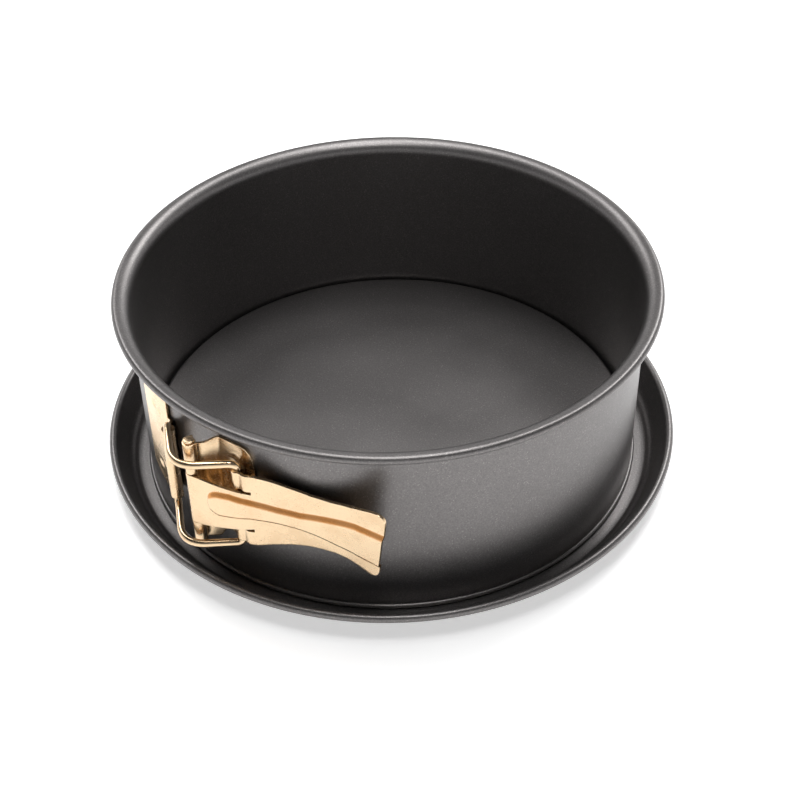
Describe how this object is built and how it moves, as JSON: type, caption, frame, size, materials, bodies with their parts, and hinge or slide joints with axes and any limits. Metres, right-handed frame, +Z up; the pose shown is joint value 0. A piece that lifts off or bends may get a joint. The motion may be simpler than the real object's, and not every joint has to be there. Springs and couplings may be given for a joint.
{
  "type": "springform pan",
  "caption": "Springform pan: an elastic round hoop with an over-centre clasp stands round the raised floor of a flat rimmed base and lifts off when the clasp is open.",
  "frame": {"origin": "centre of the base's underside, in the plane of the table", "axes": "+Z up along the pan's axis, -Y towards the clasp"},
  "size_m": [0.2106, 0.2107, 0.0728],
  "materials": {
    "base_coating": "speckled dark grey non-stick coating on sheet steel, satin",
    "hoop_coating": "speckled dark grey non-stick coating on sheet steel, satin",
    "clasp_sheet": "yellow zinc-plated sheet steel, bright",
    "clasp_wire": "yellow zinc-plated steel wire, bright"
  },
  "bodies": {
    "base": {"base_plate": "base_coating"},
    "band_right": {"hoop_right": "hoop_coating", "lever_bracket": "clasp_sheet", "pivot_pin": "clasp_wire"},
    "band_left": {"hoop_left": "hoop_coating"},
    "lever": {"lever": "clasp_sheet"},
    "bail": {"bail": "clasp_wire"},
    "bail_bracket": {"bail_bracket": "clasp_sheet"}
  },
  "joints": [
    {"name": "hoop_lift", "type": "slide", "parent": "base", "child": "band_right", "axis": [0, 0, 1], "range_m": [0, 0.08]},
    {"name": "lever_open", "type": "hinge", "parent": "band_right", "child": "lever", "pos_m": [0.0072, -0.099, 0.041], "axis": [0, 0, -1], "range_deg": [0, 110]},
    {"name": "bail_swing", "type": "hinge", "parent": "lever", "child": "bail", "pos_m": [0.0213, -0.092, 0.041], "axis": [0, 0, -1], "range_deg": [-65.15, 0]},
    {"name": "bracket_turn", "type": "hinge", "parent": "bail", "child": "bail_bracket", "pos_m": [-0.0104, -0.094, 0.041], "axis": [0, 0, -1], "range_deg": [-43.52, 0]},
    {"name": "hoop_spread", "type": "hinge", "parent": "band_right", "child": "band_left", "pos_m": [0, 0.097, 0.036], "axis": [0, 0, -1], "range_deg": [0, 1.36]}
  ],
  "couplings": [
    {"joint": "bail_swing", "follows": "lever_open", "ratio": -0.59216},
    {"joint": "bracket_turn", "follows": "lever_open", "ratio": -0.3955},
    {"joint": "hoop_spread", "follows": "lever_open", "ratio": 0.012347}
  ]
}
